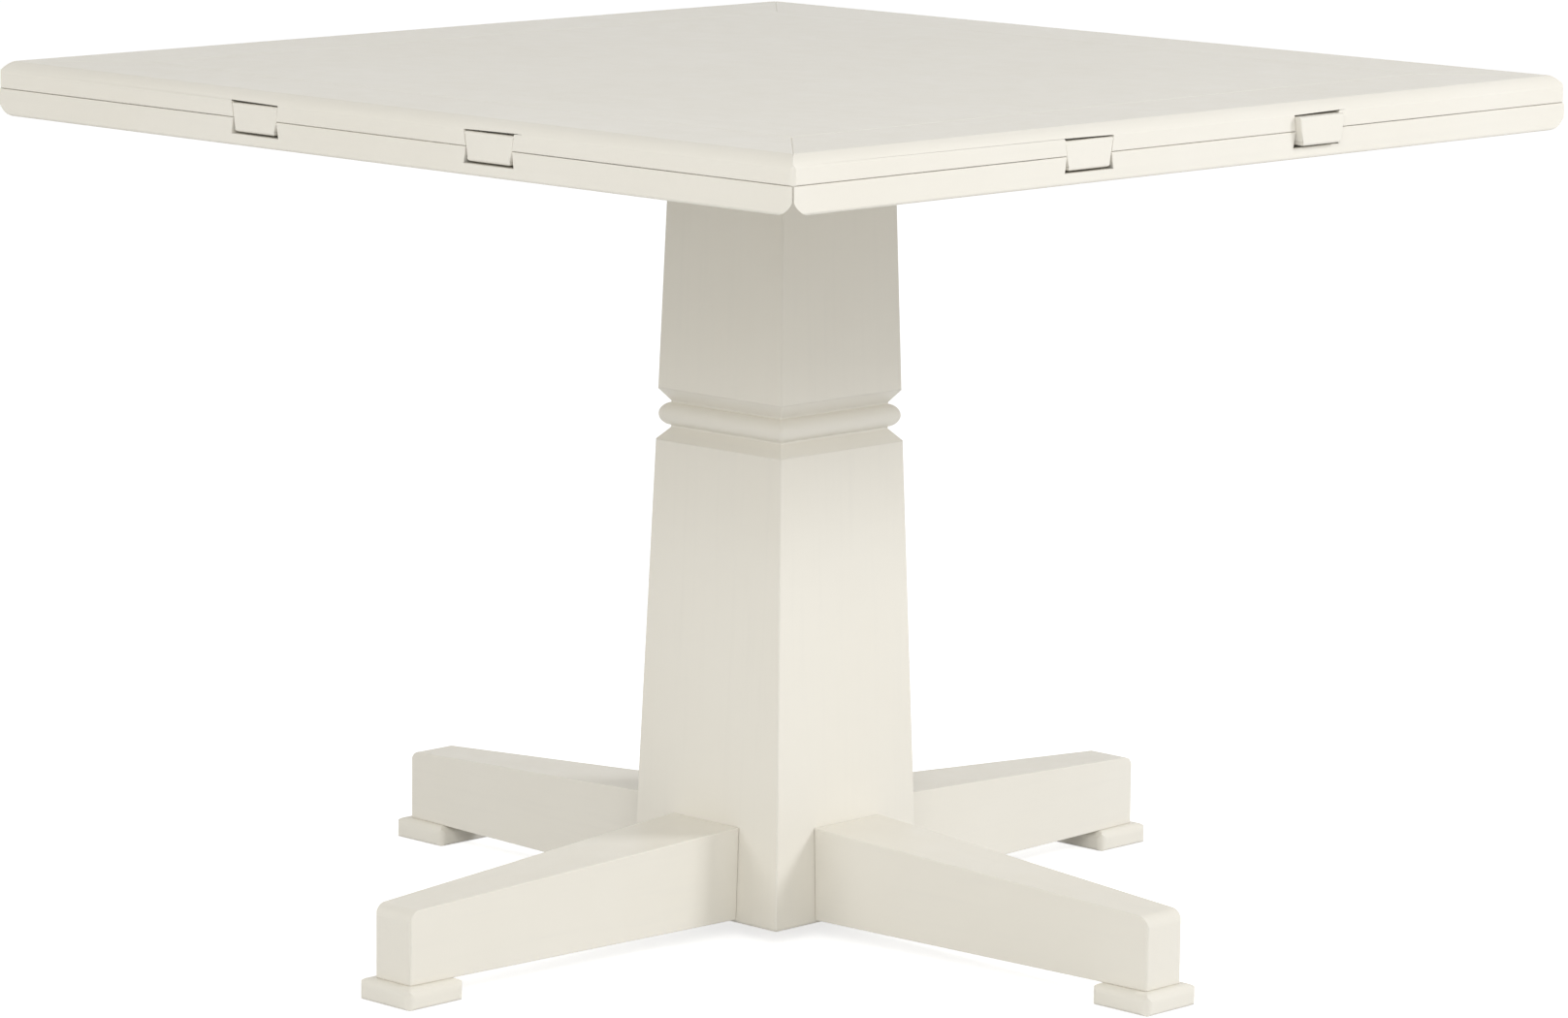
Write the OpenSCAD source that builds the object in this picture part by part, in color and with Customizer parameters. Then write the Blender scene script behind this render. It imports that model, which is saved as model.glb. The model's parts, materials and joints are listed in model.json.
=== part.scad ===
// Drop leaf table: a square pedestal table whose four hinged leaves fold under
// the top and open out to make it round.
// Frame: millimetres, origin on the floor at the centre, Z up.
// The front faces -Y, the right side +X, the back +Y and the left -X.

/* [Whole table] */
// Height of the table top above the floor
table_h = 762; // [600:1:900]
// Side of the square top
top_side = 971; // [850:1:1200]

/* [Top and leaves] */
// Thickness of the top, and of each leaf
board_t = 23.5; // [21:0.1:32]
// Width of the mitred border round the top's middle panel
border_w = 94; // [70:1:140]
// Width of the bevel on the top's upper edge and the leaves' curved edge
bevel_w = 10; // [4:0.5:14]
// Height of that bevel
bevel_h = 10.5; // [4:0.5:12]

/* [Slides] */
// Distance of each slide from the middle of its side
slide_pos = 143.5; // [110:0.5:190]
// Width of a slide's slot at the seam
slot_w = 55; // [40:1:70]
// Depth of the slot on either side of the seam
slot_d = 13.8; // [11:0.1:14.5]
// Length of a slide
slide_l = 145; // [130:1:160]
// How far a slide comes out past the edge of the top
slide_travel = 70; // [40:1:75]
// How far one slide on the right side has been left standing out
slide_ajar = 6.5; // [0:0.5:6.5]

/* [Pedestal] */
// Half width of the column at its foot
column_foot_hw = 90.6; // [75:0.2:120]
// Half width of the lower column at its top
column_mid_hw = 77.6; // [65:0.2:110]
// Half width of the upper column at its top
column_top_hw = 69.8; // [60:0.1:100]
// Height of the collar's underside above the floor
collar_z = 432.5; // [300:0.5:520]
// Height of the collar
collar_h = 45.5; // [36:0.5:60]
// Height of the column's underside above the floor
column_z = 15; // [10:1:30]

/* [Legs] */
// Distance from the centre to the end of a leg
leg_reach = 460; // [380:1:520]
// Half width of a leg at the column
leg_root_hw = 41.5; // [34:0.5:48]
// Half width of a leg at its outer end
leg_end_hw = 22; // [18:0.5:32]
// Height of a leg's upper face at the column
leg_root_z = 101.3; // [90:0.1:140]
// Height of a leg's upper face at its outer end
leg_end_z = 82.4; // [65:0.1:90]
// Radius of the outer top corner of a leg
leg_round = 11; // [6:1:24]

/* [Foot pads] */
// Thickness of a foot pad
pad_t = 18.5; // [14:0.5:26]
// Length of a foot pad along its leg
pad_l = 64; // [50:1:80]
// How far a pad stands out past the leg's end and sides
pad_lip = 10.5; // [3:0.5:14]
// Radius of a pad's upper edges and corners
pad_r = 7.5; // [2:0.5:8]

/* [Hidden] */
$fn = 96;
e = 0.01;
part_gap = 0.3;
seam_gap = 0.4;
edge_gap = 0.15;
half = top_side / 2;
seam_z = table_h - board_t - seam_gap / 2;
axis_x = half + edge_gap;
field_hw = half - border_w;
round_r = top_side / sqrt(2);
leaf_r = round_r - 0.8;
leaf_z = seam_z - seam_gap / 2 - board_t;
groove_r = 0.8;
slot_l = slide_l + 5;
slot_wide = slot_w + 4;
slide_up = slot_d - 1.4;
slide_down = slot_d - 1.8;
pin_x = half - 60;
pin_d = 6;
hinge_pos = slide_pos + 96.5;
hinge_r = 9;
hinge_body = [15.8, 44, 12.6];
hinge_flange_l = 64;
hinge_back = 2.2;
hinge_wall = 1.2;
hinge_arm_t = 2.8;
leg_joint = 0.3;
magnet_pos = [half - 45, half - 155];
head_hw = 180;
head_t = 20;
head_z = table_h - board_t - head_t;
rod_d = 12;
bore_hw = 48;
collar_top = collar_z + collar_h;
plug_t = 18;
bolt_d = 8;
bolt_z = [pad_t + 30, pad_t + 62];
upper_foot_hw = column_mid_hw - 1.2;
pad_mid = leg_reach + pad_lip - pad_l / 2;
pad_hw = leg_end_hw + pad_lip;

sides = ["front", "right", "back", "left"];
turns = [-90, 0, 90, 180];

paint = [0.90, 0.89, 0.86];
paint_under = [0.86, 0.85, 0.81];
birch = [0.80, 0.70, 0.54];
steel = [0.62, 0.63, 0.65];
zinc = [0.72, 0.73, 0.74];
brass = [0.75, 0.62, 0.35];

// ---- helpers ----

// Everything is drawn on the right side (+X) and turned to the side asked for.
module on_side(name) {
  for (i = [0:3])
    if (sides[i] == name)
      rotate([0, 0, turns[i]])
        children();
}

// The piece at every side in turn.
module all_round() {
  for (i = [0:3])
    rotate([0, 0, turns[i]])
      children();
}

// A flat shape with x across and y up, stood upright and drawn out along Y.
module upright(length) {
  translate([0, length / 2, 0])
    rotate([90, 0, 0])
      linear_extrude(length)
        children();
}

// The waste left outside a quarter round of radius r at the origin's corner.
module corner_waste(r) {
  difference() {
    translate([-1, -1])
      square(r + 1);
    translate([r, r])
      circle(r);
  }
}

// A cross recess for a screw head, its mouth at the origin.
module cross_recess(d) {
  for (a = [0, 90])
    rotate([0, 0, a])
      translate([-d * 0.55, -d * 0.11, -d * 0.35])
        cube([d * 1.1, d * 0.22, d * 0.35 + 1]);
}

// ---- top ----

// The waste over the convex bevel: its low end at (0, 0), its high end at
// (-bevel_w, bevel_h).
module bevel_waste() {
  r = 22;
  chord = sqrt(bevel_w * bevel_w + bevel_h * bevel_h);
  back = sqrt(r * r - chord * chord / 4);
  mid = [-bevel_w / 2, bevel_h / 2];
  centre = mid - back / chord * [bevel_h, bevel_w];
  difference() {
    translate([-bevel_w, 0])
      square([bevel_w + 2, bevel_h + 2]);
    polygon([
      [-bevel_w - 5, -5],
      [0, -5],
      [0, 0],
      [-bevel_w, bevel_h],
      [-bevel_w - 5, bevel_h]
    ]);
    intersection() {
      translate(centre)
        circle(r);
      translate([-bevel_w, 0])
        square([bevel_w, bevel_h]);
    }
  }
}

// The bevelled upper edge and eased lower arris along one side of the top.
module top_edge_waste() {
  upright(top_side + 20) {
    translate([half, table_h - bevel_h])
      bevel_waste();
    translate([half, table_h - board_t])
      mirror([1, 0])
        corner_waste(1);
  }
}

// The top's upright corners are taken off in a narrow flat.
module top_corner_waste() {
  flat = 3.2;
  for (a = [0:90:270])
    rotate([0, 0, a])
      translate([half, half, table_h - board_t - 1])
        rotate([0, 0, 45])
          translate([-flat / sqrt(2), -20, 0])
            cube([20, 40, board_t + 2]);
}

// V grooves along the panel's joints and the corner mitres.
module joint_grooves() {
  for (a = [0:90:270])
    rotate([0, 0, a]) {
      translate([field_hw, 0, table_h])
        rotate([0, 45, 0])
          cube([groove_r, 2 * field_hw + groove_r, groove_r], center = true);
      rotate([0, 0, 45])
        translate([field_hw * sqrt(2), 0, table_h])
          rotate([45, 0, 0])
            translate([0, -groove_r * 0.7, -groove_r * 0.7])
              cube([(border_w - bevel_w + 1) * sqrt(2), groove_r * 1.4, groove_r * 1.4]);
    }
}

// The dovetail slots for one side's slides, in the half above the seam.
module slot_shape() {
  polygon([
    [-slot_w / 2, -1],
    [slot_w / 2, -1],
    [slot_w / 2, 0],
    [slot_wide / 2, slot_d],
    [-slot_wide / 2, slot_d],
    [-slot_w / 2, 0]
  ]);
}

module slots_above() {
  for (y = [-slide_pos, slide_pos])
    translate([half - slot_l, y, seam_z])
      rotate([0, 0, 90])
        rotate([90, 0, 0])
          linear_extrude(slot_l + 5)
            slot_shape();
}

module slots_below() {
  translate([0, 0, seam_z])
    mirror([0, 0, 1])
      translate([0, 0, -seam_z])
        slots_above();
}

// Holes for the stop pins over one side's slots.
module pin_holes() {
  for (y = [-slide_pos, slide_pos])
    translate([pin_x, y, seam_z + slot_d - 1])
      cylinder(d = pin_d + 0.04, h = 7.2);
}

// Recesses in the top for one side's hinge cups and their screws.
module hinge_pockets() {
  for (y = [-hinge_pos, hinge_pos])
    translate([axis_x, y, seam_z]) {
      translate([-hinge_back - hinge_body[0] - 0.15, -hinge_body[1] / 2 - 0.15, -1])
        cube([hinge_body[0] + 0.3, hinge_body[1] + 0.3, hinge_body[2] + 1.6]);
      translate([-hinge_back - hinge_body[0] - 0.15, -hinge_flange_l / 2 - 0.15, -1])
        cube([hinge_body[0] + 0.3, hinge_flange_l + 0.3, 3.4]);
      for (s = [-1, 1])
        translate([hinge_screw_x(), s * hinge_screw_y(), 0])
          cylinder(d = 3.04, h = 14.4);
    }
}

function hinge_screw_x() = -hinge_back - hinge_body[0] / 2;

function hinge_screw_y() = hinge_body[1] / 2 + 5;

module magnet_holes() {
  for (s = [-1, 1])
    translate([magnet_pos[0], s * magnet_pos[1], seam_z - 1])
      cylinder(d = 12.2, h = 1 + 0.4 + 4);
}

module head_screw_spots() {
  for (a = [0:90:270])
    for (s = [-1, 1])
      rotate([0, 0, a])
        translate([head_hw - 22, s * 95, head_z])
          children();
}

module top_panel() {
  color(paint)
    difference() {
      translate([-field_hw, -field_hw, table_h - board_t])
        cube([2 * field_hw, 2 * field_hw, board_t]);
      joint_grooves();
      all_round()
        slots_above();
      head_screw_spots()
        translate([0, 0, head_t - 1])
          cylinder(d = 4.6, h = 15);
      translate([0, 0, table_h - board_t - 1])
        cylinder(d = 34, h = 4);
    }
}

module rail() {
  color(paint)
    difference() {
      translate([0, 0, table_h - board_t])
        linear_extrude(board_t)
          polygon([
            [field_hw, -field_hw],
            [half, -half],
            [half, half],
            [field_hw, field_hw]
          ]);
      top_edge_waste();
      top_corner_waste();
      joint_grooves();
      slots_above();
      pin_holes();
      hinge_pockets();
      magnet_holes();
    }
}

module slide_stop_pins() {
  color(steel)
    all_round()
      for (y = [-slide_pos, slide_pos])
        translate([pin_x, y, seam_z + slot_d - 3.4])
          cylinder(d = pin_d, h = 9.4);
}

module top_magnets() {
  color(steel)
    all_round()
      for (s = [-1, 1])
        translate([magnet_pos[0], s * magnet_pos[1], seam_z + 0.4])
          cylinder(d = 12, h = 3.9);
}

// ---- hinges ----
// Each hinge turns about the seam's edge on curved arms, so that it stays
// hidden while the leaf is folded: one arm in the top's cup, one in the
// leaf's, and between them a loose curved link that bridges the two.

// A curved bar on the hinge's circle, by half its thickness, its width and
// the angles it starts and ends at. 180 is in the seam, over 180 is above it.
module arc_band(half_t, width, from, to) {
  translate([0, -width / 2, 0])
    rotate([-90, 0, 0])
      rotate([0, 0, from])
        rotate_extrude(angle = to - from)
          translate([hinge_r - half_t, 0])
            square([2 * half_t, width]);
}

// A cup over the seam with its arm reaching down past it. Lane is the arm's
// place along the axis.
module hinge_cup(lane) {
  difference() {
    union() {
      translate([-hinge_back - hinge_body[0], -hinge_body[1] / 2, 0.2])
        cube(hinge_body);
      translate([-hinge_back - hinge_body[0], -hinge_flange_l / 2, 0.2])
        cube([hinge_body[0], hinge_flange_l, 2]);
    }
    difference() {
      arc_band(hinge_arm_t / 2 + 0.25, hinge_body[1] - 2 * hinge_wall, 170, 260);
      translate([-hinge_back - hinge_wall, -30, -5])
        cube([20, 60, 25]);
    }
    for (s = [-1, 1])
      translate([hinge_screw_x(), s * hinge_screw_y(), -1])
        cylinder(d = 3.2, h = 4);
    for (s = [-1, 1])
      translate([hinge_screw_x(), s * hinge_screw_y(), 0.2 - e])
        cylinder(d1 = 6.2, d2 = 3.2, h = 1.5);
  }
  translate([0, lane, 0])
    arc_band(hinge_arm_t / 2, 11, 120, 252);
}

// One screw up into the wood, its head in the cup's flange.
module hinge_screws() {
  for (y = [-hinge_pos, hinge_pos])
    for (s = [-1, 1])
      translate([axis_x + hinge_screw_x(), y + s * hinge_screw_y(), seam_z + 0.3])
        difference() {
          union() {
            cylinder(d1 = 5.8, d2 = 3, h = 1.4);
            cylinder(d = 3, h = 14);
          }
          mirror([0, 0, 1])
            translate([0, 0, -0.01])
              cross_recess(2.4);
        }
}

module top_hinge_cups() {
  color(zinc)
    all_round()
      for (y = [-hinge_pos, hinge_pos])
        translate([axis_x, y, seam_z])
          hinge_cup(-13);
}

module top_hinge_screws() {
  color(steel)
    all_round()
      hinge_screws();
}

// The same, turned over into the leaf.
module below_seam() {
  translate([0, 0, seam_z])
    mirror([0, 0, 1])
      translate([0, 0, -seam_z])
        children();
}

module leaf_hinge_cups() {
  color(zinc)
    below_seam()
      for (y = [-hinge_pos, hinge_pos])
        translate([axis_x, y, seam_z])
          hinge_cup(13);
}

module leaf_hinge_screws() {
  color(steel)
    below_seam()
      hinge_screws();
}

module hinge_links() {
  color(brass)
    for (y = [-hinge_pos, hinge_pos])
      translate([axis_x, y, seam_z])
        arc_band(hinge_arm_t / 2, 14, 134, 226);
}

// ---- leaves ----

module leaf() {
  color(paint)
    difference() {
      intersection() {
        translate([top_side, 0, leaf_z])
          rotate_extrude()
            difference() {
              square([leaf_r, board_t]);
              translate([leaf_r, bevel_h])
                mirror([0, 1])
                  bevel_waste();
            }
        translate([0, -half, leaf_z - 1])
          cube([half, top_side, board_t + 2]);
      }
      upright(top_side + 20) {
        translate([half, leaf_z])
          mirror([1, 0])
            corner_waste(3);
        translate([half, leaf_z + board_t])
          mirror([0, 1])
            mirror([1, 0])
              corner_waste(1.5);
      }
      slots_below();
      below_seam() {
        hinge_pockets();
        magnet_holes();
      }
    }
}

module leaf_strikes() {
  color(steel)
    below_seam()
      for (s = [-1, 1])
        translate([magnet_pos[0], s * magnet_pos[1], seam_z + 0.4])
          cylinder(d = 12, h = 3.9);
}

// ---- slides ----

module slide(y, out) {
  color(paint)
    translate([half - slide_l + out, y, seam_z])
      difference() {
        rotate([0, 0, 90])
          rotate([90, 0, 0])
            linear_extrude(slide_l)
              difference() {
                polygon([
                  [-slot_wide / 2 + 0.6, slide_up],
                  [-slot_w / 2 + 0.45, 0],
                  [-slot_w / 2 + 2.5, -slide_down],
                  [slot_w / 2 - 2.5, -slide_down],
                  [slot_w / 2 - 0.45, 0],
                  [slot_wide / 2 - 0.6, slide_up]
                ]);
                for (s = [0, 1])
                  mirror([s, 0])
                    translate([-slot_w / 2 + 2.5, -slide_down])
                      corner_waste(3);
              }
        translate([slide_l, 0, 0])
          upright(slot_wide + 10) {
            translate([0, -slide_down])
              mirror([1, 0])
                corner_waste(2.5);
            translate([0, slide_up])
              mirror([1, 0])
                mirror([0, 1])
                  corner_waste(2.5);
          }
        translate([slide_l - 60, 0, slide_up - 4.5])
          slide_groove();
      }
}

// The groove in a slide's upper face that runs over the stop pin.
module slide_groove() {
  w = pin_d + 0.6;
  translate([-slide_travel, -w / 2, 0])
    cube([slide_travel, w, 10]);
  for (x = [0, -slide_travel])
    translate([x, 0, 0])
      cylinder(d = w, h = 10);
}

// ---- pedestal ----

// A square tapered post: both faces and the eased corners as upright shapes.
module taper_post(foot_hw, top_hw, z0, z1) {
  ease = 0.6;
  intersection_for (a = [0:45:135])
    rotate([0, 0, a])
      upright(400) {
        k = a % 90 == 0 ? 1 : sqrt(2);
        cut = a % 90 == 0 ? 0 : ease;
        polygon([
          [-foot_hw * k + cut, z0],
          [foot_hw * k - cut, z0],
          [top_hw * k - cut, z1],
          [-top_hw * k + cut, z1]
        ]);
      }
}

module head_plate() {
  color(paint_under)
    difference() {
      translate([0, 0, head_z])
        linear_extrude(head_t)
          difference() {
            square(2 * head_hw, center = true);
            for (a = [0:90:270])
              rotate([0, 0, a])
                translate([-head_hw, -head_hw])
                  corner_waste(12);
          }
      translate([0, 0, head_z - 1])
        cylinder(d = rod_d + 0.6, h = head_t + 2);
      translate([0, 0, head_z + head_t - 9])
        cylinder(d = 32, h = 10);
      head_screw_spots()
        translate([0, 0, -1])
          cylinder(d = 5, h = head_t + 2);
      head_screw_spots()
        translate([0, 0, -e])
          cylinder(d1 = 9.4, d2 = 5, h = 4.4);
    }
}

module head_screws() {
  color(steel)
    head_screw_spots()
      translate([0, 0, 0.2])
        difference() {
          union() {
            cylinder(d1 = 9, d2 = 4.5, h = 4.2);
            cylinder(d = 4.5, h = 32);
          }
          mirror([0, 0, 1])
            cross_recess(4.5);
        }
}

module upper_column() {
  color(paint)
    difference() {
      taper_post(upper_foot_hw, column_top_hw, collar_top, head_z);
      translate([-bore_hw, -bore_hw, collar_top - 1])
        cube([2 * bore_hw, 2 * bore_hw, head_z - collar_top + 2]);
    }
}

// Collar: a square ring with a full bead between two sloping hollows.
module collar_profile() {
  low_w = column_mid_hw;
  high_w = upper_foot_hw;
  neck = column_mid_hw - 9.6;
  h = collar_h;
  bead_r = 10.4;
  bead_x = column_mid_hw - 1 - bead_r;
  difference() {
    polygon([
      [-low_w, 0],
      [low_w, 0],
      [high_w, h],
      [-high_w, h]
    ]);
    for (s = [0, 1])
      mirror([s, 0])
        difference() {
          polygon([
            [low_w + 20, 0.4],
            [low_w + 20, h - 0.4],
            [high_w, h - 0.4],
            [neck, h * 0.755],
            [neck, h * 0.235],
            [low_w, 0.4]
          ]);
          translate([bead_x, h / 2])
            circle(bead_r);
        }
  }
}

module column_collar() {
  color(paint)
    difference() {
      intersection() {
        translate([0, 0, collar_z])
          upright(300)
            collar_profile();
        rotate([0, 0, 90])
          translate([0, 0, collar_z])
            upright(300)
              collar_profile();
      }
      translate([-bore_hw, -bore_hw, collar_z - 1])
        cube([2 * bore_hw, 2 * bore_hw, collar_h + 2]);
    }
}

module lower_column() {
  color(paint)
    difference() {
      taper_post(column_foot_hw, column_mid_hw, column_z, collar_z);
      for (a = [0, 90])
        rotate([0, 0, a])
          upright(400)
            for (s = [0, 1])
              mirror([s, 0])
                translate([-column_foot_hw, column_z])
                  corner_waste(4);
      translate([-bore_hw, -bore_hw, column_z - 1])
        cube([2 * bore_hw, 2 * bore_hw, collar_z - column_z + 2]);
      all_round()
        leg_bolt_spots()
          translate([0, 0, -1])
            cylinder(d = bolt_d + 0.6, h = 60);
    }
}

module foot_plug() {
  color(birch)
    difference() {
      translate([-bore_hw, -bore_hw, column_z])
        cube([2 * bore_hw, 2 * bore_hw, plug_t]);
      translate([0, 0, column_z - 1])
        cylinder(d = rod_d + 0.6, h = plug_t + 2);
      translate([0, 0, column_z - 1])
        cylinder(d = 32, h = 1 + 13);
    }
}

module tie_rod() {
  color(steel)
    translate([0, 0, column_z + 1])
      cylinder(d = rod_d, h = head_z + head_t + 1 - column_z - 2);
}

module hex_nut(across, h) {
  difference() {
    cylinder(d = across / cos(30), h = h, $fn = 6);
    translate([0, 0, -1])
      cylinder(d = rod_d + 0.1, h = h + 2);
  }
}

module tie_rod_nuts() {
  color(steel) {
    translate([0, 0, column_z + 2.5])
      hex_nut(19, 8.5);
    translate([0, 0, head_z + head_t - 6.5])
      hex_nut(19, 7);
  }
}

module tie_rod_washers() {
  color(steel)
    for (z = [column_z + 11, head_z + head_t - 9])
      translate([0, 0, z])
        difference() {
          cylinder(d = 30, h = z < 100 ? 2 : 2.5);
          translate([0, 0, -1])
            cylinder(d = rod_d + 0.6, h = 5);
        }
}

// ---- legs and pads ----

// Where the leg bolts start: on the bore's wall, pointing out.
module leg_bolt_spots() {
  for (z = bolt_z)
    translate([bore_hw, 0, z])
      rotate([0, 90, 0])
        children();
}

module leg() {
  face_root = column_foot_hw - (leg_root_z - column_z) * column_slope();
  face_foot = column_foot_hw - (pad_t - column_z) * column_slope();
  rise = (leg_root_z - leg_end_z) / (leg_reach - face_root);
  tilt = atan(rise);
  color(paint)
    difference() {
      intersection() {
        translate([0, 0, pad_t])
          linear_extrude(leg_root_z)
            polygon([
              [face_root - 5, -leg_root_hw],
              [column_foot_hw, -leg_root_hw],
              [leg_reach - 1.5, -leg_end_hw],
              [leg_reach, -leg_end_hw + 1.5],
              [leg_reach, leg_end_hw - 1.5],
              [leg_reach - 1.5, leg_end_hw],
              [column_foot_hw, leg_root_hw],
              [face_root - 5, leg_root_hw]
            ]);
        upright(2 * leg_root_hw + 10)
          difference() {
            polygon([
              [face_foot + leg_joint, pad_t],
              [leg_reach, pad_t],
              [leg_reach, leg_end_z],
              [face_root + leg_joint, leg_root_z]
            ]);
            translate([leg_reach, leg_end_z])
              rotate([0, 0, 180])
                leg_corner_waste(leg_round, tilt);
          }
      }
      leg_bolt_spots()
        cylinder(d = bolt_d + 0.2, h = 97);
      pad_screw_spots()
        translate([0, 0, pad_t - 1])
          cylinder(d = 4.7, h = 27);
    }
}

function column_slope() = (column_foot_hw - column_mid_hw) / (collar_z - column_z);

// The waste outside a round that meets the leg's sloping top and its end.
module leg_corner_waste(r, tilt) {
  reach = r * tan((90 - tilt) / 2);
  difference() {
    polygon([
      [-2, -2],
      [reach * cos(tilt), -reach * sin(tilt) - 3],
      [reach * cos(tilt), -reach * sin(tilt)],
      [r, reach],
      [0, reach],
      [-2, reach]
    ]);
    translate([r, reach])
      circle(r);
  }
}

module leg_bolts() {
  color(steel)
    all_round()
      leg_bolt_spots() {
        cylinder(d = bolt_d, h = 94);
        translate([0, 0, -2 - 5.3])
          cylinder(d = 13 / cos(30), h = 5.3, $fn = 6);
        translate([0, 0, -2.5])
          cylinder(d = bolt_d, h = 3);
      }
}

module leg_bolt_washers() {
  color(steel)
    all_round()
      leg_bolt_spots()
        translate([0, 0, -2])
          difference() {
            cylinder(d = 24, h = 2);
            translate([0, 0, -1])
              cylinder(d = bolt_d + 0.6, h = 4);
          }
}

module pad_screw_spots() {
  for (s = [-1, 1])
    translate([pad_mid - 5 + s * 18, 0, 0])
      children();
}

module pad_side(hw) {
  difference() {
    translate([-hw, 0])
      square([2 * hw, pad_t]);
    for (s = [0, 1])
      mirror([s, 0]) {
        translate([-hw, pad_t])
          mirror([0, 1])
            corner_waste(pad_r);
        translate([-hw, 0])
          corner_waste(3);
      }
  }
}

module pad() {
  color(paint)
    difference() {
      intersection() {
        translate([pad_mid, 0, 0])
          upright(2 * pad_hw)
            pad_side(pad_l / 2);
        translate([pad_mid, 0, 0])
          rotate([0, 0, 90])
            upright(pad_l)
              pad_side(pad_hw);
        translate([pad_mid, 0, 0])
          linear_extrude(pad_t)
            difference() {
              square([pad_l, 2 * pad_hw], center = true);
              for (s = [0, 1])
                for (t = [0, 1])
                  mirror([s, 0])
                    mirror([0, t])
                      translate([-pad_l / 2, -pad_hw])
                        corner_waste(7);
            }
      }
      pad_screw_spots()
        translate([0, 0, -1])
          cylinder(d = 5, h = pad_t + 2);
      pad_screw_spots()
        translate([0, 0, -1])
          cylinder(d = 9.4, h = 4);
      pad_screw_spots()
        translate([0, 0, 3 - e])
          cylinder(d1 = 9.4, d2 = 5, h = 2.8);
    }
}

module pad_screws() {
  color(steel)
    all_round()
      pad_screw_spots()
        translate([0, 0, 3.2])
          difference() {
            union() {
              cylinder(d1 = 9, d2 = 4.5, h = 2.7);
              cylinder(d = 4.5, h = 40);
            }
            mirror([0, 0, 1])
              cross_recess(4.5);
          }
}

// ---- the table ----

top_panel();
on_side("front") rail();  // top_rail_front
on_side("right") rail();  // top_rail_right
on_side("back") rail();  // top_rail_back
on_side("left") rail();  // top_rail_left
head_plate();
head_screws();
upper_column();
column_collar();
lower_column();
foot_plug();
tie_rod();
tie_rod_nuts();
tie_rod_washers();
on_side("front") leg();  // leg_front
on_side("right") leg();  // leg_right
on_side("back") leg();  // leg_back
on_side("left") leg();  // leg_left
leg_bolts();
leg_bolt_washers();
on_side("front") pad();  // pad_front
on_side("right") pad();  // pad_right
on_side("back") pad();  // pad_back
on_side("left") pad();  // pad_left
pad_screws();
slide_stop_pins();
top_magnets();
top_hinge_cups();
top_hinge_screws();
on_side("front") leaf();  // leaf_front
on_side("right") leaf();  // leaf_right
on_side("back") leaf();  // leaf_back
on_side("left") leaf();  // leaf_left
on_side("front") leaf_strikes();  // leaf_strikes_front
on_side("right") leaf_strikes();  // leaf_strikes_right
on_side("back") leaf_strikes();  // leaf_strikes_back
on_side("left") leaf_strikes();  // leaf_strikes_left
on_side("front") leaf_hinge_cups();  // leaf_hinge_cups_front
on_side("right") leaf_hinge_cups();  // leaf_hinge_cups_right
on_side("back") leaf_hinge_cups();  // leaf_hinge_cups_back
on_side("left") leaf_hinge_cups();  // leaf_hinge_cups_left
on_side("front") leaf_hinge_screws();  // leaf_hinge_screws_front
on_side("right") leaf_hinge_screws();  // leaf_hinge_screws_right
on_side("back") leaf_hinge_screws();  // leaf_hinge_screws_back
on_side("left") leaf_hinge_screws();  // leaf_hinge_screws_left
on_side("front") hinge_links();  // hinge_links_front
on_side("right") hinge_links();  // hinge_links_right
on_side("back") hinge_links();  // hinge_links_back
on_side("left") hinge_links();  // hinge_links_left
on_side("front") slide(-slide_pos, 0);  // slide_front_a
on_side("front") slide(slide_pos, 0);  // slide_front_b
on_side("right") slide(-slide_pos, 0);  // slide_right_a
on_side("right") slide(slide_pos, slide_ajar);  // slide_right_b
on_side("back") slide(-slide_pos, 0);  // slide_back_a
on_side("back") slide(slide_pos, 0);  // slide_back_b
on_side("left") slide(-slide_pos, 0);  // slide_left_a
on_side("left") slide(slide_pos, 0);  // slide_left_b
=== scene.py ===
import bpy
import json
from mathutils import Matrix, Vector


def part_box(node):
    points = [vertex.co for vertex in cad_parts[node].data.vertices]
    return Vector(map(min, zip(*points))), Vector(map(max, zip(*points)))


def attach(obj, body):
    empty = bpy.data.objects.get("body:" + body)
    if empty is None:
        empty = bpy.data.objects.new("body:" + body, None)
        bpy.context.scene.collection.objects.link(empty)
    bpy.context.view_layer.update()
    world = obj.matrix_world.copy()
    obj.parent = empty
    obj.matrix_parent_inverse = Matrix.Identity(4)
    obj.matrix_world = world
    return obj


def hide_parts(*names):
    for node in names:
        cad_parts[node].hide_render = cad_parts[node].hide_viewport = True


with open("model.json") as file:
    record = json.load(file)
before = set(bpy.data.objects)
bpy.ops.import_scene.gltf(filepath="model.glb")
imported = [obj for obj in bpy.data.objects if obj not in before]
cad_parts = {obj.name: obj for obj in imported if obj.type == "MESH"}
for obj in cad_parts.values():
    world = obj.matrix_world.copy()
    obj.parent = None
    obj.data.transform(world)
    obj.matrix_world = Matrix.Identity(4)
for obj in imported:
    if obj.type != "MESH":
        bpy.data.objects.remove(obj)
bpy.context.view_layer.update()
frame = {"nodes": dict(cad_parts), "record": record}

import json
import math

import bmesh
import bpy
from mathutils import Matrix, Vector

nodes = frame["nodes"]
SIDES = ("front", "right", "back", "left")
BODY = {name: body for body, names in frame["record"]["behaviour"]["bodies"].items() for name in names}
SAME_POINT = 2e-6


# ---- Border rails and middle panel of the top ----
# Four mitred hardwood rails round a flat veneered panel, glued up, sanded
# and sprayed with warm white satin paint. The arrises are eased by hand.

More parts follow.
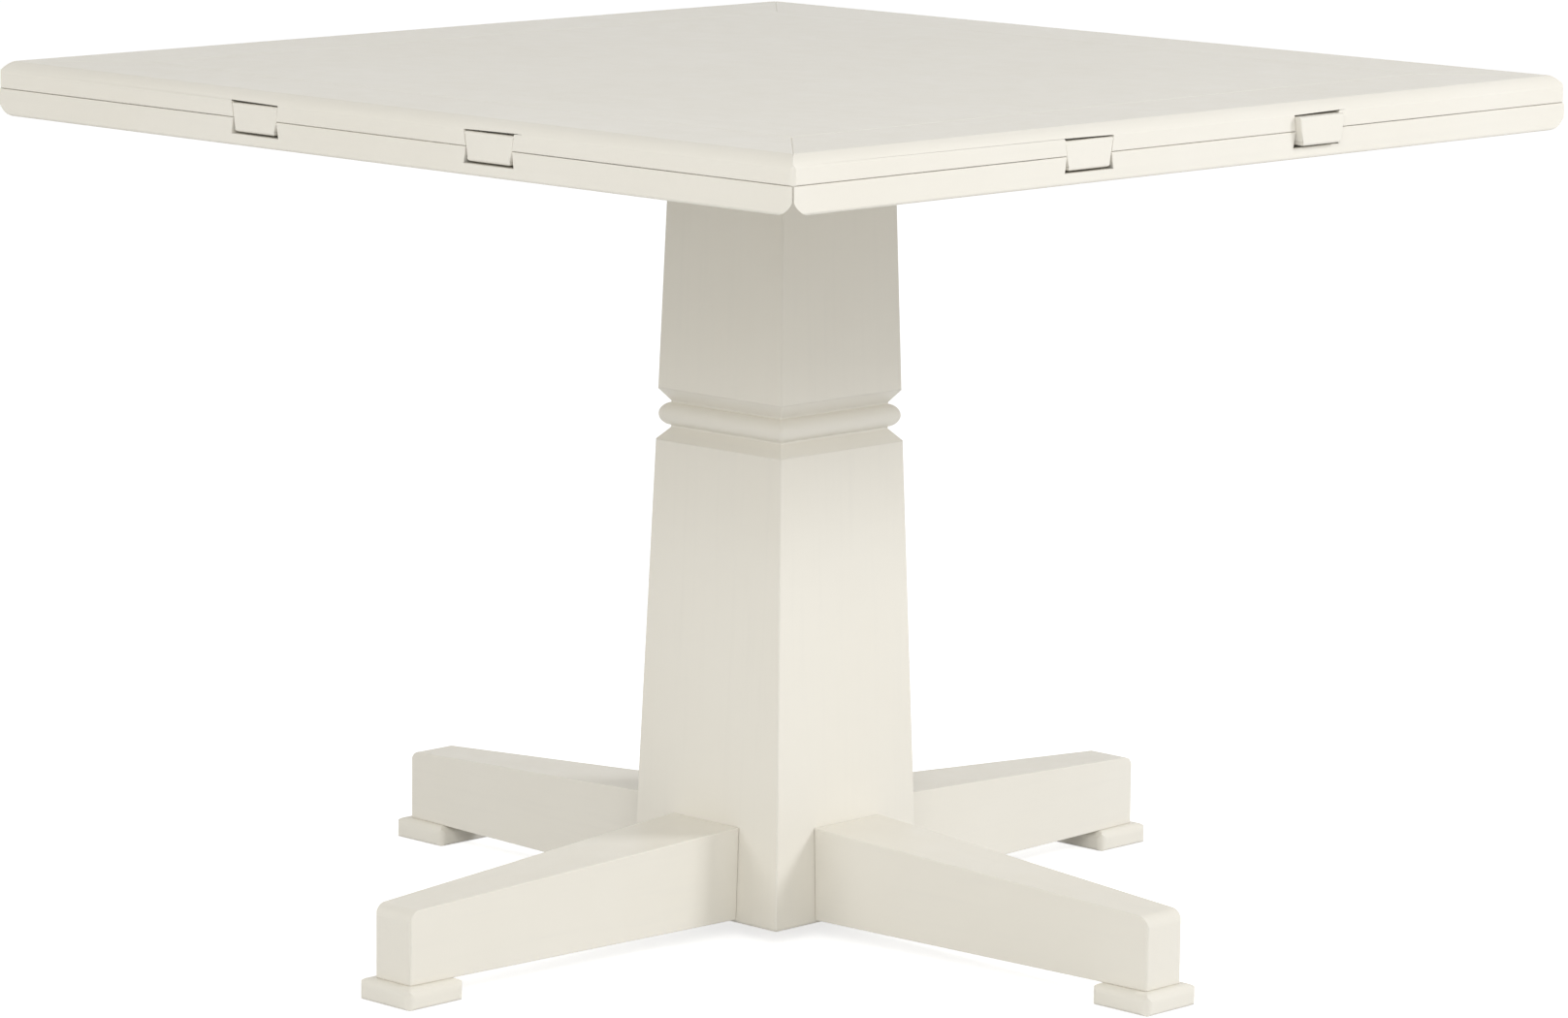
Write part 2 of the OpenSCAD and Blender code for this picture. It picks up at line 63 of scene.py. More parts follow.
PAINT = (0.800, 0.772, 0.700)
# Lighter colour for the arrises: partly paint rubbed thin by handling, partly a painted highlight where the
# edges catch the light.
PAINT_WORN_AND_HIGHLIGHT = (0.855, 0.838, 0.790)
ARRIS = 0.0009
FLAT = math.radians(0.6)
CRISP = math.radians(24)
SQUARE = math.radians(60)
MOST_CORNERS = 30
GRAIN = {"x": (3.0, 150.0, 150.0), "y": (150.0, 3.0, 150.0), "z": (150.0, 150.0, 3.0)}


def new_material(name):
    material = bpy.data.materials.new(name)
    material.use_nodes = True
    tree = material.node_tree
    tree.nodes.clear()
    output = tree.nodes.new("ShaderNodeOutputMaterial")
    shader = tree.nodes.new("ShaderNodeBsdfPrincipled")
    tree.links.new(shader.outputs["BSDF"], output.inputs["Surface"])
    return material, tree, shader


def noise(tree, vector, scale, detail=4.0, roughness=0.55):
    texture = tree.nodes.new("ShaderNodeTexNoise")
    texture.inputs["Scale"].default_value = scale
    texture.inputs["Detail"].default_value = detail
    texture.inputs["Roughness"].default_value = roughness
    tree.links.new(vector, texture.inputs["Vector"])
    return texture.outputs["Fac"]


def remap(tree, value, low, high, to_low=0.0, to_high=1.0):
    node = tree.nodes.new("ShaderNodeMapRange")
    tree.links.new(value, node.inputs["Value"])
    node.inputs["From Min"].default_value = low
    node.inputs["From Max"].default_value = high
    node.inputs["To Min"].default_value = to_low
    node.inputs["To Max"].default_value = to_high
    return node.outputs["Result"]


def mix_colour(tree, fac, a, b):
    node = tree.nodes.new("ShaderNodeMix")
    node.data_type = "RGBA"
    tree.links.new(fac, node.inputs["Factor"])
    for socket, value in (("A", a), ("B", b)):
        target = next(s for s in node.inputs if s.name == socket and s.type == "RGBA")
        if isinstance(value, tuple):
            target.default_value = (*value, 1.0)
        else:
            tree.links.new(value, target)
    return next(s for s in node.outputs if s.type == "RGBA")


def bump(tree, height, distance, strength, normal=None):
    node = tree.nodes.new("ShaderNodeBump")
    node.inputs["Distance"].default_value = distance
    node.inputs["Strength"].default_value = strength
    tree.links.new(height, node.inputs["Height"])
    if normal is not None:
        tree.links.new(normal, node.inputs["Normal"])
    return node.outputs["Normal"]


def edge_mask(tree, radius):
    """Near 1 on an arris, 0 on a flat: how far the rounded normal leans from the true one."""
    rounded = tree.nodes.new("ShaderNodeBevel")
    rounded.samples = 4
    rounded.inputs["Radius"].default_value = radius
    geometry = tree.nodes.new("ShaderNodeNewGeometry")
    dot = tree.nodes.new("ShaderNodeVectorMath")
    dot.operation = "DOT_PRODUCT"
    tree.links.new(rounded.outputs["Normal"], dot.inputs[0])
    tree.links.new(geometry.outputs["Normal"], dot.inputs[1])
    return remap(tree, dot.outputs["Value"], 0.995, 0.90), rounded.outputs["Normal"]


def satin_paint(name, along, colour=PAINT, wear_and_highlight=0.45, roughness=0.40, soft=False):
    """Sprayed paint over close-grained wood whose grain runs along one axis.

    soft rounds the arrises in the shading too, for a piece that keeps its crisp CAD edges.
    """
    material, tree, shader = new_material(name)
    where = tree.nodes.new("ShaderNodeTexCoord").outputs["Object"]
    stretch = tree.nodes.new("ShaderNodeMapping")
    stretch.inputs["Scale"].default_value = GRAIN[along]
    tree.links.new(where, stretch.inputs["Vector"])
    grain = noise(tree, stretch.outputs["Vector"], 1.0, 6.0)
    cloud = noise(tree, where, 4.5, 3.0)
    stipple = noise(tree, where, 1400.0, 2.0)
    handling = noise(tree, where, 38.0, 5.0, 0.7)
    edge, rounded = edge_mask(tree, 0.0016)

    shade = tuple(c * k for c, k in zip(colour, (0.98, 0.976, 0.965)))
    base = mix_colour(tree, remap(tree, cloud, 0.35, 0.65), colour, shade)
    streak = tuple(c * 0.955 for c in colour)
    base = mix_colour(tree, remap(tree, grain, 0.52, 0.74, 0.0, 0.40), base, streak)
    # Painted highlight and wear: the arrises are mixed towards the lighter colour, in patches that follow
    # the handling noise.
    arris_wear_and_highlight = tree.nodes.new("ShaderNodeMath")
    arris_wear_and_highlight.operation = "MULTIPLY"
    tree.links.new(edge, arris_wear_and_highlight.inputs[0])
    tree.links.new(remap(tree, handling, 0.48, 0.70, 0.0, wear_and_highlight), arris_wear_and_highlight.inputs[1])
    base = mix_colour(tree, arris_wear_and_highlight.outputs["Value"], base, PAINT_WORN_AND_HIGHLIGHT)
    tree.links.new(base, shader.inputs["Base Color"])
    sheen = remap(tree, handling, 0.3, 0.7, roughness - 0.05, roughness + 0.07)
    tree.links.new(sheen, shader.inputs["Roughness"])
    shader.inputs["Specular IOR Level"].default_value = 0.34
    relief = bump(tree, grain, 0.00022, 0.35, rounded if soft else None)
    tree.links.new(bump(tree, stipple, 0.00006, 0.35, relief), shader.inputs["Normal"])
    return material


def eased(node, materials, eases, width=ARRIS, shortest=0.008, dark=None):
    """The wooden part of that CAD node with its outward arrises rounded over by geometry.

    eases(a, b) says whether the arris from a to b is one that a hand can reach, and dark(centre) picks the
    faces that take the second material, such as the inside of a slot. A face with many corners is cut into
    triangles first, because one that runs round pockets would fold over itself when its arrises are rounded.
    """
    work = bmesh.new()
    work.from_mesh(nodes[node].data)
    bmesh.ops.remove_doubles(work, verts=work.verts, dist=SAME_POINT)
    bmesh.ops.dissolve_limit(work, angle_limit=FLAT, verts=work.verts, edges=work.edges)
    pocketed = [face for face in work.faces if len(face.verts) > MOST_CORNERS]
    bmesh.ops.triangulate(work, faces=pocketed, ngon_method="BEAUTY")
    weight = work.edges.layers.float.new("bevel_weight_edge")
    for edge in work.edges:
        if edge.calc_length() < shortest:
            edge.smooth = edge.calc_face_angle() < CRISP
            continue
        first, second = edge.link_faces
        outward = first.normal.dot(second.calc_center_median() - edge.verts[0].co) < 0.0
        crisp = edge.calc_face_angle() > CRISP
        square = edge.calc_face_angle() > SQUARE
        if square and outward and eases(edge.verts[0].co, edge.verts[1].co):
            edge[weight] = 1.0
        elif crisp:
            edge.smooth = False
    for face in work.faces:
        face.smooth = True
        face.material_index = 1 if dark is not None and dark(face.calc_center_median()) else 0
    mesh = bpy.data.meshes.new(node + "_wood")
    work.to_mesh(mesh)
    work.free()
    mesh.materials.clear()
    for material in materials:
        mesh.materials.append(material)
    piece = bpy.data.objects.new(node + "_wood", mesh)
    bpy.context.collection.objects.link(piece)
    round_over = piece.modifiers.new("eased_arrises", "BEVEL")
    round_over.width = width
    round_over.segments = 3
    round_over.limit_method = "WEIGHT"
    round_over.use_clamp_overlap = False
    round_over.loop_slide = False
    flat_faces = piece.modifiers.new("flat_faces_stay_flat", "WEIGHTED_NORMAL")
    flat_faces.weight = 100
    flat_faces.keep_sharp = True
    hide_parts(node)
    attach(piece, BODY[node])
    return piece


def anywhere(a, b):
    return True


paint_along_x = satin_paint("satin_paint_grain_x", "x")
paint_along_y = satin_paint("satin_paint_grain_y", "y")
along_side = {"front": paint_along_x, "back": paint_along_x, "right": paint_along_y, "left": paint_along_y}


# Painted shade: the walls inside the slots, and the mitre grooves on the top, take this near-black colour
# for the shade that falls in those narrow gaps; the noise only mottles it.
slot_painted_shade, slot_tree, slot_shader = new_material("slot_inside_painted_shade")
slot_where = slot_tree.nodes.new("ShaderNodeTexCoord").outputs["Object"]
slot_shade_mottle = noise(slot_tree, slot_where, 90.0, 5.0)
slot_shade_mottled = remap(slot_tree, slot_shade_mottle, 0.4, 0.7)
slot_base = mix_colour(slot_tree, slot_shade_mottled, (0.060, 0.052, 0.042), (0.110, 0.098, 0.080))
slot_tree.links.new(slot_base, slot_shader.inputs["Base Color"])
slot_tree.links.new(remap(slot_tree, slot_shade_mottle, 0.3, 0.7, 0.75, 0.9), slot_shader.inputs["Roughness"])
slot_tree.links.new(bump(slot_tree, slot_shade_mottle, 0.0002, 0.5), slot_shader.inputs["Normal"])


def finish_cad(node, material):
    """A CAD node that is already the right shape keeps it and takes this finish."""
    mesh = nodes[node].data
    mesh.materials.clear()
    mesh.materials.append(material)


def inside_slot(side, spare=0.0026):
    """Tells a face on the walls of one side's two slots from the wood around them."""
    boxes = [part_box("slide_" + side + "_" + which) for which in ("a", "b")]

    def dark(centre):
        for box in boxes:
            low = [a - spare for a in box[0]]
            high = [b + spare for b in box[1]]
            if all(low[k] < centre[k] < high[k] for k in range(3)):
                return max(abs(centre.x), abs(centre.y)) < TOP_HALF - 0.0008
        return False

    return dark


TOP_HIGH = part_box("top_rail_right")[1]
TOP_HALF = TOP_HIGH[0]


def outside_of_top(a, b):
    """An arris on the outer 12 mm of the top, which leaves the glued joints inside it tight."""
    middle = (a + b) / 2
    reach = max(abs(middle.x), abs(middle.y)) > TOP_HALF - 0.012
    mitre = abs(abs(a.x) - abs(a.y)) < 0.0012 and abs(abs(b.x) - abs(b.y)) < 0.0012
    return reach and not mitre


def dark_in_rail(side):
    slot = inside_slot(side)

    def dark(centre):
        # Painted shade goes on the slot walls and in the groove along each mitre.
        groove = TOP_HIGH[2] - 0.001 < centre.z < TOP_HIGH[2] - 0.00005
        on_mitre = abs(abs(centre.x) - abs(centre.y)) < 0.0011
        return slot(centre) or (groove and on_mitre)

    return dark


finish_cad("top_panel", paint_along_x)
for side in SIDES:
    eased("top_rail_" + side, (along_side[side], slot_painted_shade), outside_of_top, dark=dark_in_rail(side))


# ---- Leaves ----
# Four half-moon boards, edge-glued hardwood with the grain along the hinge
# line, bevelled on the curved edge and painted on every face.

LEAF_LOW, LEAF_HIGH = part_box("leaf_right")


def outside_of_leaf(a, b):
    """An arris that runs round a leaf, and not one round a recess let into it."""
    middle = (a + b) / 2
    level = a.z if abs(a.z - b.z) < 1e-4 else None
    on_face = level is None or min(abs(level - LEAF_LOW[2]), abs(level - LEAF_HIGH[2])) < 0.012
    return on_face and (b - a).length > 0.012 and max(abs(middle.x), abs(middle.y)) > 0.25


# The walls of the slots let into each leaf take the painted shade.
for side in SIDES:
    eased("leaf_" + side, (along_side[side], slot_painted_shade), outside_of_leaf, dark=inside_slot(side))


# ---- Slides ----
# Eight dovetailed hardwood bars that carry the opened leaves. They are
# painted like the top, with all their arrises lighter still: partly paint rubbed thin
# where fingers pull them, partly a painted highlight.

slide_paint = {
    "front": satin_paint("slide_paint_grain_y", "y", wear_and_highlight=0.8),
    "right": satin_paint("slide_paint_grain_x", "x", wear_and_highlight=0.8),
}
slide_paint["back"] = slide_paint["front"]
slide_paint["left"] = slide_paint["right"]
for side in SIDES:
    for which in ("a", "b"):
        eased("slide_" + side + "_" + which, (slide_paint[side],), anywhere, width=0.0011)


# ---- Column and collar ----
# A square post glued up of four tapered boards in two lengths, with a moulded
# collar mitred round the joint between them. Sprayed with the same paint.

paint_upright = satin_paint("satin_paint_grain_z", "z", soft=True)
for node in ("upper_column", "lower_column"):
    finish_cad(node, paint_upright)
finish_cad("head_plate", paint_along_y)


def collar_profile():
    """Half widths and heights up the moulding, with how far its mitred corners are rounded."""
    low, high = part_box("column_collar")
    foot, head, tall = high.x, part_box("upper_column")[1].x, high.z - low.z
    neck, bead_radius, crisp = foot - 0.0096, 0.0104, 0.0006
    bead_x = foot - 0.001 - bead_radius
    reach = math.acos((neck - bead_x) / bead_radius)
    profile = [(foot, low.z, crisp), (neck, low.z + 0.235 * tall, crisp)]
    for step in range(17):
        turn = reach * (step / 8 - 1)
        width = bead_x + bead_radius * math.cos(turn)
        height = low.z + tall / 2 + bead_radius * math.sin(turn)
        profile.append((width, height, crisp + 0.0022 * math.cos(turn)))
    profile += [(neck, low.z + 0.755 * tall, crisp), (head, high.z, crisp)]
    return profile


def square_loop(half_width, height, rounding, steps=5):
    """A square of points at one height, its corners rounded."""
    loop = []
    for corner in range(4):
        for step in range(steps + 1):
            turn = math.radians(90 * (corner + step / steps))
            place = Vector((rounding * math.cos(turn), rounding * math.sin(turn), height))
            inset = Matrix.Rotation(math.radians(90 * corner), 3, "Z") @ Vector((1, 1, 0))
            loop.append(place + inset * (half_width - rounding))
    return loop


def mitred_collar():
    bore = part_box("foot_plug")[1].x
    profile = collar_profile()
    rings = profile + [(bore, profile[-1][1], 0.0003), (bore, profile[0][1], 0.0003)]
    work = bmesh.new()
    loops = [[work.verts.new(point) for point in square_loop(*ring)] for ring in rings]
    count = len(loops[0])
    for here, above in zip(loops, loops[1:] + loops[:1]):
        for k in range(count):
            work.faces.new((here[k], here[(k + 1) % count], above[(k + 1) % count], above[k]))
    bmesh.ops.recalc_face_normals(work, faces=work.faces)
    for face in work.faces:
        face.smooth = True
        centre = face.calc_center_median()
        face.material_index = 0 if abs(centre.y) > abs(centre.x) else 1
    mesh = bpy.data.meshes.new("column_collar_moulding")
    work.to_mesh(mesh)
    work.free()
    mesh.set_sharp_from_angle(angle=math.radians(28))
    mesh.materials.append(paint_along_x)
    mesh.materials.append(paint_along_y)
    collar = bpy.data.objects.new("column_collar_moulding", mesh)
    bpy.context.collection.objects.link(collar)
    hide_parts("column_collar")
    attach(collar, BODY["column_collar"])


mitred_collar()


# ---- Legs ----
# Solid tapered legs, thicker at the column, sawn from one board each and
# rounded over at the outer top corner. Bolted from inside the column.

along_leg = {"front": paint_along_y, "back": paint_along_y, "right": paint_along_x, "left": paint_along_x}
for side in SIDES:
    eased("leg_" + side, (along_leg[side],), anywhere, shortest=0.0005)


# ---- Foot pads ----
# Square wooden pads with rounded upper edges, screwed up into the leg ends
# and painted with the legs.

for side in SIDES:
    finish_cad("pad_" + side, along_leg[side])


# ---- Hardware ----
# Zinc plated steel screws, bolts and rod, die cast hinge cups, brass hinge
# links and nickelled magnets, all out of sight until a leaf is opened.


def brushed_metal(name, colour, roughness, scratch_scale=220.0):
    material, tree, shader = new_material(name)
    where = tree.nodes.new("ShaderNodeTexCoord").outputs["Object"]
    stretch = tree.nodes.new("ShaderNodeMapping")
    stretch.inputs["Scale"].default_value = (1.0, 9.0, 1.0)
    tree.links.new(where, stretch.inputs["Vector"])
    scratches = noise(tree, stretch.outputs["Vector"], scratch_scale, 6.0, 0.65)
    tarnish = noise(tree, where, 60.0, 4.0)
    dull = tuple(c * 0.78 for c in colour)
    tint = mix_colour(tree, remap(tree, tarnish, 0.4, 0.7), colour, dull)
    tree.links.new(tint, shader.inputs["Base Color"])
    brushed = remap(tree, scratches, 0.3, 0.7, roughness - 0.08, roughness + 0.12)
    tree.links.new(brushed, shader.inputs["Roughness"])
    shader.inputs["Metallic"].default_value = 1.0
    tree.links.new(bump(tree, scratches, 0.00004, 0.4), shader.inputs["Normal"])
    return material


plated_steel = brushed_metal("plated_steel", (0.62, 0.63, 0.65), 0.34)
cast_zinc = brushed_metal("cast_zinc", (0.70, 0.71, 0.72), 0.46, 500.0)
turned_brass = brushed_metal("turned_brass", (0.72, 0.56, 0.27), 0.30)
for node in ("tie_rod", "tie_rod_nuts", "tie_rod_washers", "leg_bolts", "leg_bolt_washers",
             "slide_stop_pins", "top_magnets"):
    finish_cad(node, plated_steel)
finish_cad("top_hinge_cups", cast_zinc)
for side in SIDES:
    finish_cad("leaf_strikes_" + side, plated_steel)
    finish_cad("leaf_hinge_cups_" + side, cast_zinc)
    finish_cad("hinge_links_" + side, turned_brass)


# ---- Wood screws ----
# Countersunk cross-headed screws of plated steel: two through each foot pad,
# eight through the head plate and two beside each hinge cup.


def screw_tree():
    """Geometry nodes: one screw, its head at the origin, on every point and turned as the point says."""
    tree = bpy.data.node_groups.new("countersunk_screws", "GeometryNodeTree")
    face = tree.interface
    face.new_socket(name="Places", in_out="INPUT", socket_type="NodeSocketGeometry")
    for name in ("Head radius", "Head depth", "Shank radius", "Length", "Recess width"):
        face.new_socket(name=name, in_out="INPUT", socket_type="NodeSocketFloat")
    face.new_socket(name="Finish", in_out="INPUT", socket_type="NodeSocketMaterial")
    face.new_socket(name="Screws", in_out="OUTPUT", socket_type="NodeSocketGeometry")
    given = tree.nodes.new("NodeGroupInput").outputs
    result = tree.nodes.new("NodeGroupOutput").inputs
    link = tree.links.new

    def maths(operation, a, b):
        node = tree.nodes.new("ShaderNodeMath")
        node.operation = operation
        for socket, value in zip(node.inputs, (a, b)):
            if isinstance(value, float):
                socket.default_value = value
            else:
                link(value, socket)
        return node.outputs[0]

    def vector(x, y, z):
        node = tree.nodes.new("ShaderNodeCombineXYZ")
        for socket, value in zip(node.inputs, (x, y, z)):
            if isinstance(value, float):
                socket.default_value = value
            else:
                link(value, socket)
        return node.outputs[0]

    def moved(geometry, place):
        node = tree.nodes.new("GeometryNodeTransform")
        link(geometry, node.inputs["Geometry"])
        link(place, node.inputs["Translation"])
        return node.outputs[0]

    def cone(bottom, top, depth):
        node = tree.nodes.new("GeometryNodeMeshCone")
        node.inputs["Vertices"].default_value = 24
        for name, value in (("Radius Bottom", bottom), ("Radius Top", top), ("Depth", depth)):
            if isinstance(value, float):
                node.inputs[name].default_value = value
            else:
                link(value, node.inputs[name])
        return node.outputs["Mesh"]

    head = cone(given["Head radius"], given["Shank radius"], given["Head depth"])
    recess = tree.nodes.new("GeometryNodeMeshBoolean")
    recess.operation = "DIFFERENCE"
    recess.solver = "EXACT"
    link(head, recess.inputs["Mesh 1"])
    arm = maths("MULTIPLY", given["Head radius"], 1.15)
    for size in ((arm, given["Recess width"]), (given["Recess width"], arm)):
        slot = tree.nodes.new("GeometryNodeMeshCube")
        link(vector(size[0], size[1], given["Head depth"]), slot.inputs["Size"])
        link(slot.outputs["Mesh"], recess.inputs["Mesh 2"])
    tip = maths("MULTIPLY", given["Shank radius"], 2.0)
    shank_length = maths("SUBTRACT", given["Length"], maths("ADD", given["Head depth"], tip))
    shank = moved(cone(given["Shank radius"], given["Shank radius"], shank_length),
                  vector(0.0, 0.0, given["Head depth"]))
    point = moved(cone(given["Shank radius"], 0.0, tip),
                  vector(0.0, 0.0, maths("SUBTRACT", given["Length"], tip)))
    screw = tree.nodes.new("GeometryNodeJoinGeometry")
    for part in (point, shank, recess.outputs["Mesh"]):
        link(part, screw.inputs["Geometry"])
    turn = tree.nodes.new("GeometryNodeInputNamedAttribute")
    turn.data_type = "FLOAT_VECTOR"
    turn.inputs["Name"].default_value = "turn"
    spread = tree.nodes.new("GeometryNodeInstanceOnPoints")
    link(given["Places"], spread.inputs["Points"])
    link(screw.outputs["Geometry"], spread.inputs["Instance"])
    link(turn.outputs["Attribute"], spread.inputs["Rotation"])
    real = tree.nodes.new("GeometryNodeRealizeInstances")
    link(spread.outputs["Instances"], real.inputs["Geometry"])
    finish = tree.nodes.new("GeometryNodeSetMaterial")
    link(real.outputs["Geometry"], finish.inputs["Geometry"])
    link(given["Finish"], finish.inputs["Material"])
    link(finish.outputs["Geometry"], result["Screws"])
    return tree


def screws_in(node):
    """Where each of a CAD node's screws stands: its axis, the height of its head and which way it points."""
    work = bmesh.new()
    work.from_mesh(nodes[node].data)
    bmesh.ops.remove_doubles(work, verts=work.verts, dist=SAME_POINT)
    left, found = set(work.verts), []
    while left:
        island, edge = set(), [left.pop()]
        while edge:
            vert = edge.pop()
            island.add(vert)
            for near in (e.other_vert(vert) for e in vert.link_edges):
                if near in left:
                    left.discard(near)
                    edge.append(near)
        low = Vector([min(v.co[k] for v in island) for k in range(3)])
        high = Vector([max(v.co[k] for v in island) for k in range(3)])
        axis = (low + high) / 2

        def radius(level, spare=1e-5):
            rim = [v.co for v in island if abs(v.co.z - level) < spare]
            return max(math.hypot(co.x - axis.x, co.y - axis.y) for co in rim)

        upward = radius(low.z) > radius(high.z)
        start, end = (low.z, high.z) if upward else (high.z, low.z)
        found.append((Vector((axis.x, axis.y, start)), upward, radius(start), abs(end - start)))
    work.free()
    return found


SCREW_TREE = screw_tree()


def wood_screws(node, shank_radius, head_depth):
    """Cross-headed screws in place of a CAD node's plain ones, at the same places and as long."""
    found = screws_in(node)
    places = bpy.data.meshes.new(node + "_places")
    places.from_pydata([screw[0] for screw in found], [], [])
    turns = places.attributes.new("turn", "FLOAT_VECTOR", "POINT")
    for k, screw in enumerate(found):
        turns.data[k].vector = (0.0 if screw[1] else math.pi, 0.0, 0.7 * k)
    maker = bpy.data.objects.new(node + "_maker", places)
    bpy.context.collection.objects.link(maker)
    modifier = maker.modifiers.new("screws", "NODES")
    modifier.node_group = SCREW_TREE
    head_radius, length = found[0][2:]
    sizes = {"Head radius": head_radius, "Head depth": head_depth, "Shank radius": shank_radius,
             "Length": length, "Recess width": 0.0011, "Finish": plated_steel}
    for item in SCREW_TREE.interface.items_tree:
        if item.in_out == "INPUT" and item.name in sizes:
            modifier[item.identifier] = sizes[item.name]
    seen = maker.evaluated_get(bpy.context.evaluated_depsgraph_get())
    mesh = bpy.data.meshes.new_from_object(seen)
    mesh.name = node + "_cross_headed"
    bpy.data.objects.remove(maker)
    screws = bpy.data.objects.new(node + "_cross_headed", mesh)
    bpy.context.collection.objects.link(screws)
    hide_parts(node)
    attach(screws, BODY[node])


wood_screws("pad_screws", 0.00225, 0.0027)
wood_screws("head_screws", 0.00225, 0.0042)
wood_screws("top_hinge_screws", 0.0015, 0.0014)
for side in SIDES:
    wood_screws("leaf_hinge_screws_" + side, 0.0015, 0.0014)


# ---- Foot plug ----
# A bare birch block glued into the column's lower end, bored for the rod.

plug_wood, plug_tree, plug_shader = new_material("bare_birch")
plug_where = plug_tree.nodes.new("ShaderNodeTexCoord").outputs["Object"]
plug_stretch = plug_tree.nodes.new("ShaderNodeMapping")
plug_stretch.inputs["Scale"].default_value = (8.0, 120.0, 120.0)
plug_tree.links.new(plug_where, plug_stretch.inputs["Vector"])
plug_grain = noise(plug_tree, plug_stretch.outputs["Vector"], 1.6, 6.0)
plug_tree.links.new(
    mix_colour(plug_tree, remap(plug_tree, plug_grain, 0.35, 0.65), (0.62, 0.47, 0.29), (0.47, 0.33, 0.19)),
    plug_shader.inputs["Base Color"],
)
plug_tree.links.new(remap(plug_tree, plug_grain, 0.3, 0.7, 0.6, 0.75), plug_shader.inputs["Roughness"])
plug_tree.links.new(bump(plug_tree, plug_grain, 0.0003, 0.5), plug_shader.inputs["Normal"])
finish_cad("foot_plug", plug_wood)


# ---- Floor, light and camera ----
# A plain white floor that takes a soft shadow, five soft lamps and a
# white surround. The camera looks at one corner from a little above the top.

floor_mesh = bpy.data.meshes.new("floor")
floor_mesh.from_pydata([(-20, -20, 0), (20, -20, 0), (20, 20, 0), (-20, 20, 0)], [], [(0, 1, 2, 3)])
floor = bpy.data.objects.new("floor", floor_mesh)
floor.location.z = -0.0004
bpy.context.collection.objects.link(floor)
floor_material, floor_tree, floor_shader = new_material("white_floor")
floor_shader.inputs["Base Color"].default_value = (0.75, 0.75, 0.75, 1.0)
floor_shader.inputs["Roughness"].default_value = 0.9
floor_shader.inputs["Specular IOR Level"].default_value = 0.1
floor_glow = floor_tree.nodes.new("ShaderNodeEmission")
floor_glow.inputs["Color"].default_value = (1.0, 1.0, 1.0, 1.0)
floor_glow.inputs["Strength"].default_value = 0.72
floor_sum = floor_tree.nodes.new("ShaderNodeAddShader")
floor_seen = floor_tree.nodes.new("ShaderNodeMixShader")
floor_out = next(node for node in floor_tree.nodes if node.type == "OUTPUT_MATERIAL")
floor_tree.links.new(floor_shader.outputs["BSDF"], floor_sum.inputs[0])
floor_tree.links.new(floor_glow.outputs["Emission"], floor_sum.inputs[1])


def seen_directly(tree):
    """1 for a ray from the camera or one off metal or glass, 0 for light that falls on things."""
    path = tree.nodes.new("ShaderNodeLightPath")
    total = path.outputs["Is Camera Ray"]
    for name in ("Is Glossy Ray", "Is Transmission Ray"):
        either = tree.nodes.new("ShaderNodeMath")
        either.operation = "MAXIMUM"
        tree.links.new(total, either.inputs[0])
        tree.links.new(path.outputs[name], either.inputs[1])
        total = either.outputs["Value"]
    return total


floor_tree.links.new(seen_directly(floor_tree), floor_seen.inputs["Fac"])
floor_tree.links.new(floor_shader.outputs["BSDF"], floor_seen.inputs[1])
floor_tree.links.new(floor_sum.outputs["Shader"], floor_seen.inputs[2])
floor_tree.links.new(floor_seen.outputs["Shader"], floor_out.inputs["Surface"])
floor_mesh.materials.append(floor_material)

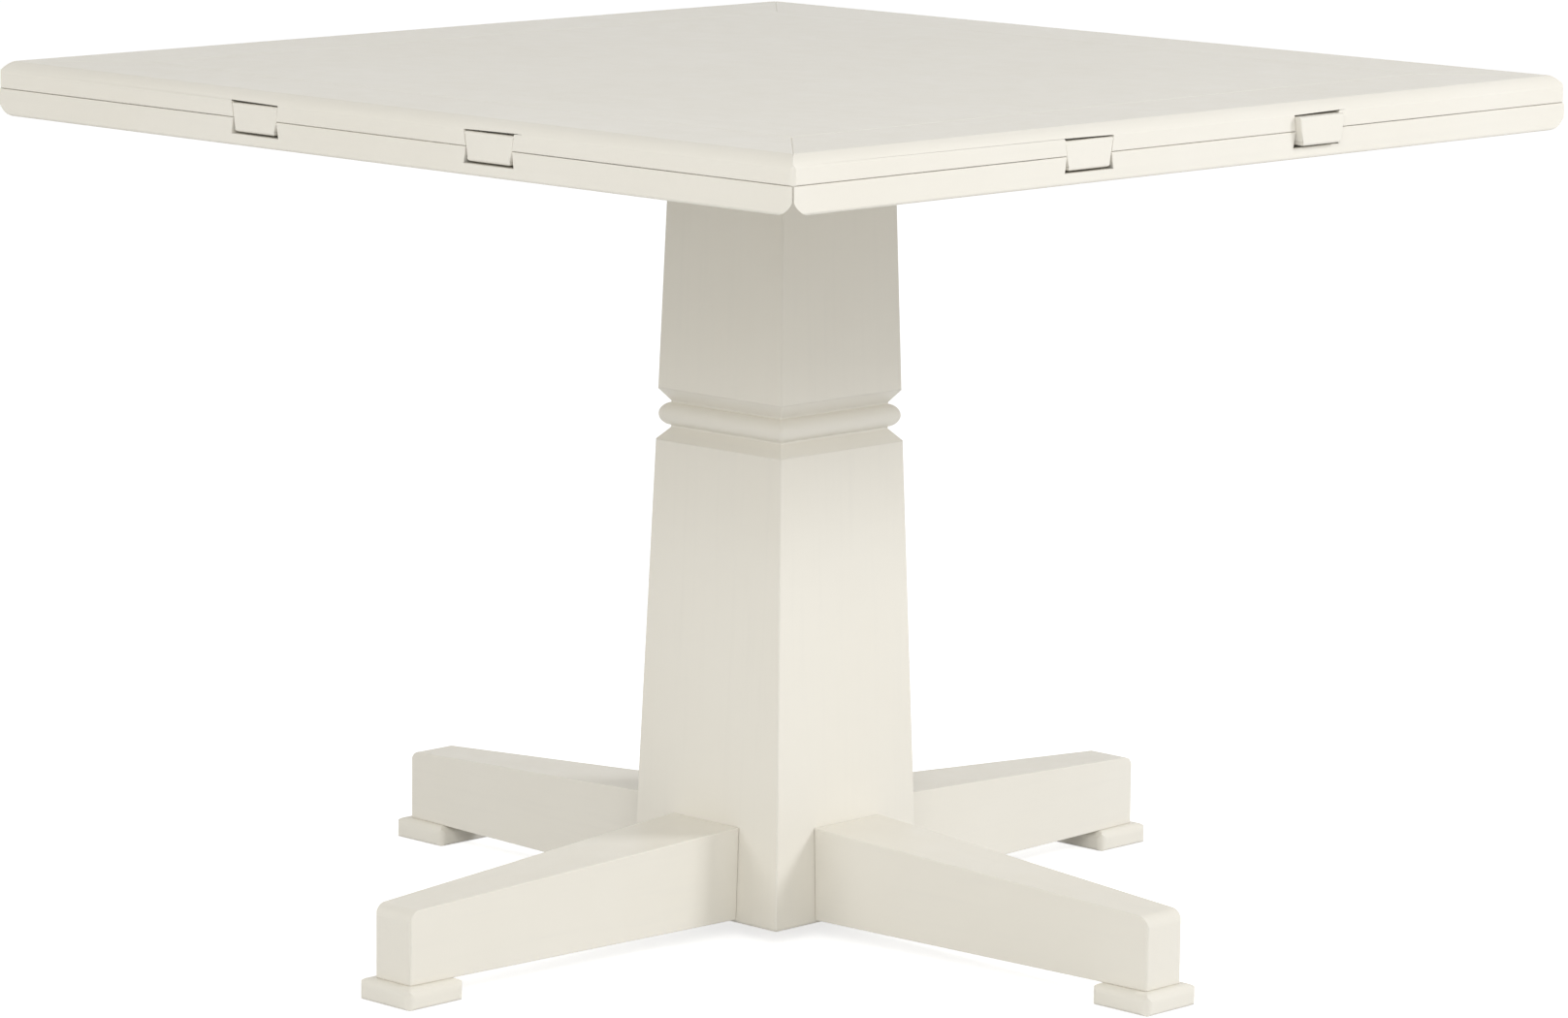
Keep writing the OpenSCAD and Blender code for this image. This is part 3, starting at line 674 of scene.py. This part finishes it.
world = bpy.data.worlds.new("surround")
bpy.context.scene.world = world
world.use_nodes = True
sky = world.node_tree
sky.nodes.clear()
sky_out = sky.nodes.new("ShaderNodeOutputWorld")
soft = sky.nodes.new("ShaderNodeBackground")
soft.inputs["Color"].default_value = (1.0, 0.985, 0.94, 1.0)
soft.inputs["Strength"].default_value = 0.385
white = sky.nodes.new("ShaderNodeBackground")
white.inputs["Strength"].default_value = 1.0
white.inputs["Color"].default_value = (1.0, 1.0, 1.0, 1.0)
sky_seen = sky.nodes.new("ShaderNodeMixShader")
sky.links.new(seen_directly(sky), sky_seen.inputs["Fac"])
sky.links.new(soft.outputs["Background"], sky_seen.inputs[1])
sky.links.new(white.outputs["Background"], sky_seen.inputs[2])
sky.links.new(sky_seen.outputs["Shader"], sky_out.inputs["Surface"])


def soft_lamp(name, place, aim, width, height, power, colour=(1.0, 1.0, 1.0)):
    lamp = bpy.data.lights.new(name, "AREA")
    lamp.shape = "RECTANGLE"
    lamp.size = width
    lamp.size_y = height
    lamp.energy = power
    lamp.color = colour
    holder = bpy.data.objects.new(name, lamp)
    holder.location = place
    holder.rotation_euler = (Vector(aim) - Vector(place)).to_track_quat("-Z", "Y").to_euler()
    holder.visible_glossy = False
    bpy.context.collection.objects.link(holder)


soft_lamp("right_key", (3.31, 2.86, 2.82), (0.0, 0.0, 0.4), 1.2, 1.2, 105.0, (0.955, 0.965, 1.0))
soft_lamp("right_fill", (5.0, 0.6, 1.2), (0.0, 0.0, 0.4), 2.4, 1.8, 21.0, (0.97, 0.975, 1.0))
soft_lamp("left_fill", (-0.8, -5.2, 1.2), (0.0, 0.0, 0.4), 2.6, 1.8, 31.0)
soft_lamp("left_high", (-2.6, -3.6, 3.0), (0.0, 0.0, 0.4), 2.0, 2.0, 37.0)
soft_lamp("front_high", (3.2, -3.2, 2.6), (0.0, 0.0, 0.4), 2.0, 2.0, 82.0)

CAMERA_PLACE = Vector((3.7245, -3.8183, 1.2852))
CAMERA_AIM = Vector((-0.0396, 0.0475, 0.3596))
CAMERA_ROLL = math.radians(-0.607)
camera_data = bpy.data.cameras.new("camera")
camera_data.lens = 140.15
camera_data.sensor_width = 36.0
camera_data.clip_end = 60.0
camera = bpy.data.objects.new("camera", camera_data)
bpy.context.collection.objects.link(camera)
forward = (CAMERA_AIM - CAMERA_PLACE).normalized()
level = forward.to_track_quat("-Z", "Y").to_matrix().to_4x4()
camera.matrix_world = Matrix.Translation(CAMERA_PLACE) @ Matrix.Rotation(CAMERA_ROLL, 4, forward) @ level
bpy.context.scene.camera = camera
bpy.context.scene.view_settings.view_transform = "Standard"
